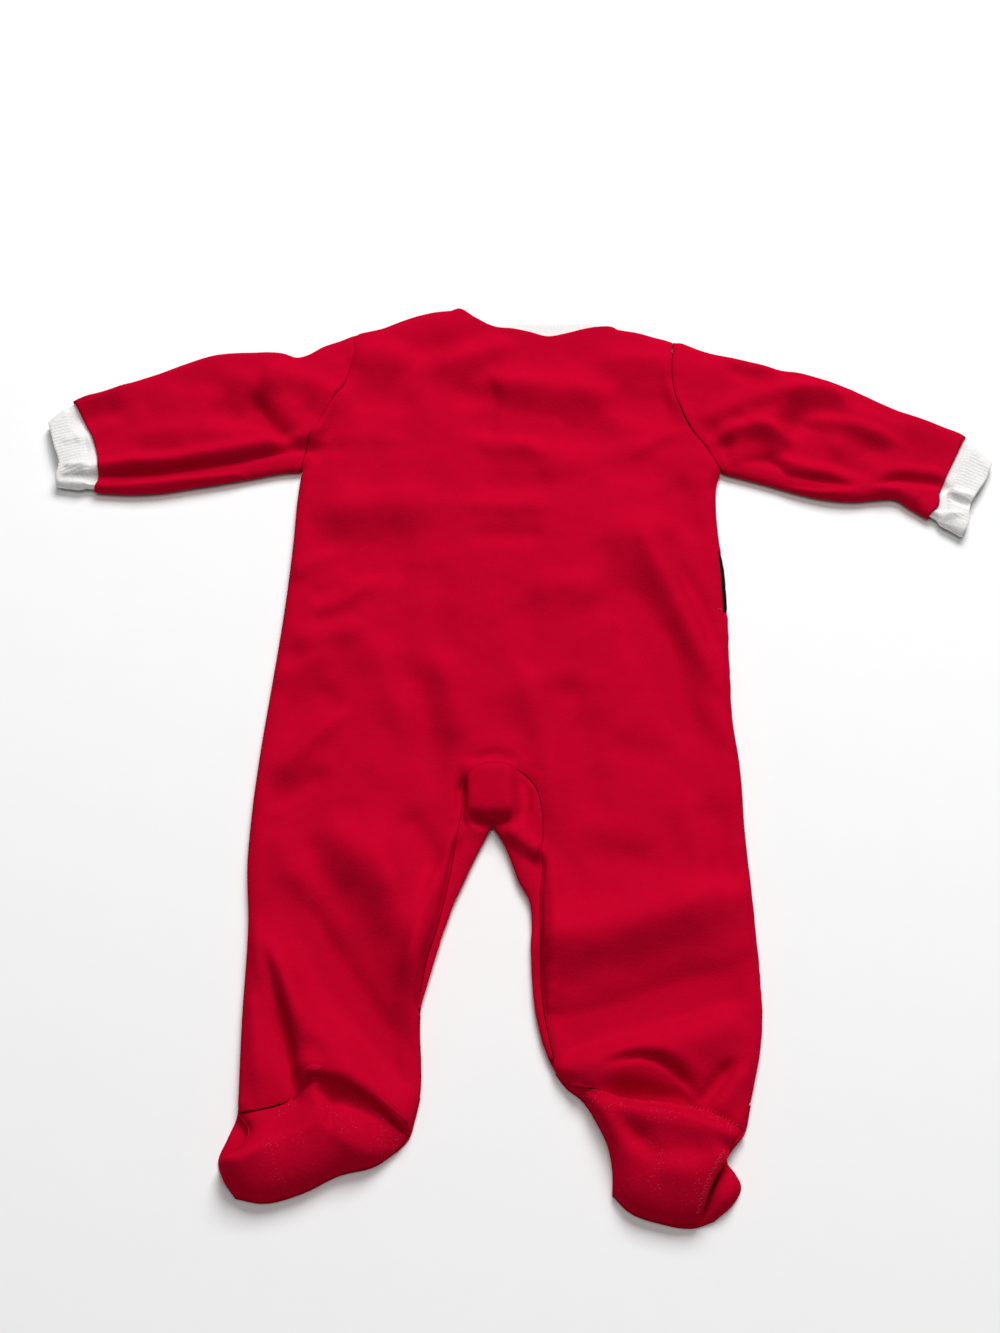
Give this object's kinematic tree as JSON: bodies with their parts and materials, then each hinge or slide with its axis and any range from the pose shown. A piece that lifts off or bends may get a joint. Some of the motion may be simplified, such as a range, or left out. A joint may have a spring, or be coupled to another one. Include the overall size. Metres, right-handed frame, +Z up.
{
  "type": "footed fleece sleeper laid flat",
  "caption": "Footed fleece baby sleeper laid flat on its front: long sleeves with ribbed cuffs, a press stud front, a belt band across the front, closed feet with soles.",
  "frame": {"origin": "centre of the laid out garment's bounding box, on the surface it rests on", "axes": "+Z up out of the surface, +Y towards the neck, +X towards the wearer's right sleeve; the back faces up"},
  "size_m": [0.563, 0.5636, 0.0233],
  "materials": {
    "red_fleece": "napped microfleece",
    "white_rib": "ribbed knit",
    "black_fleece": "napped microfleece",
    "stud_metal": "satin"
  },
  "bodies": {
    "root": {"back": "red_fleece", "crotch_gusset": "red_fleece", "front_upper_left": "red_fleece", "front_upper_right": "red_fleece", "belt_left": "black_fleece", "belt_right": "black_fleece", "front_lower_left": "red_fleece", "front_lower_right": "red_fleece", "sleeve_left": "red_fleece", "sleeve_right": "red_fleece", "cuff_left": "white_rib", "cuff_right": "white_rib", "neckband": "white_rib", "foot_upper_left": "red_fleece", "foot_upper_right": "red_fleece", "foot_sole_left": "red_fleece", "foot_sole_right": "red_fleece", "stud_1": "stud_metal", "stud_2": "stud_metal", "stud_3": "stud_metal", "stud_4": "stud_metal", "stud_5": "stud_metal", "stud_6": "stud_metal"}
  },
  "joints": []
}
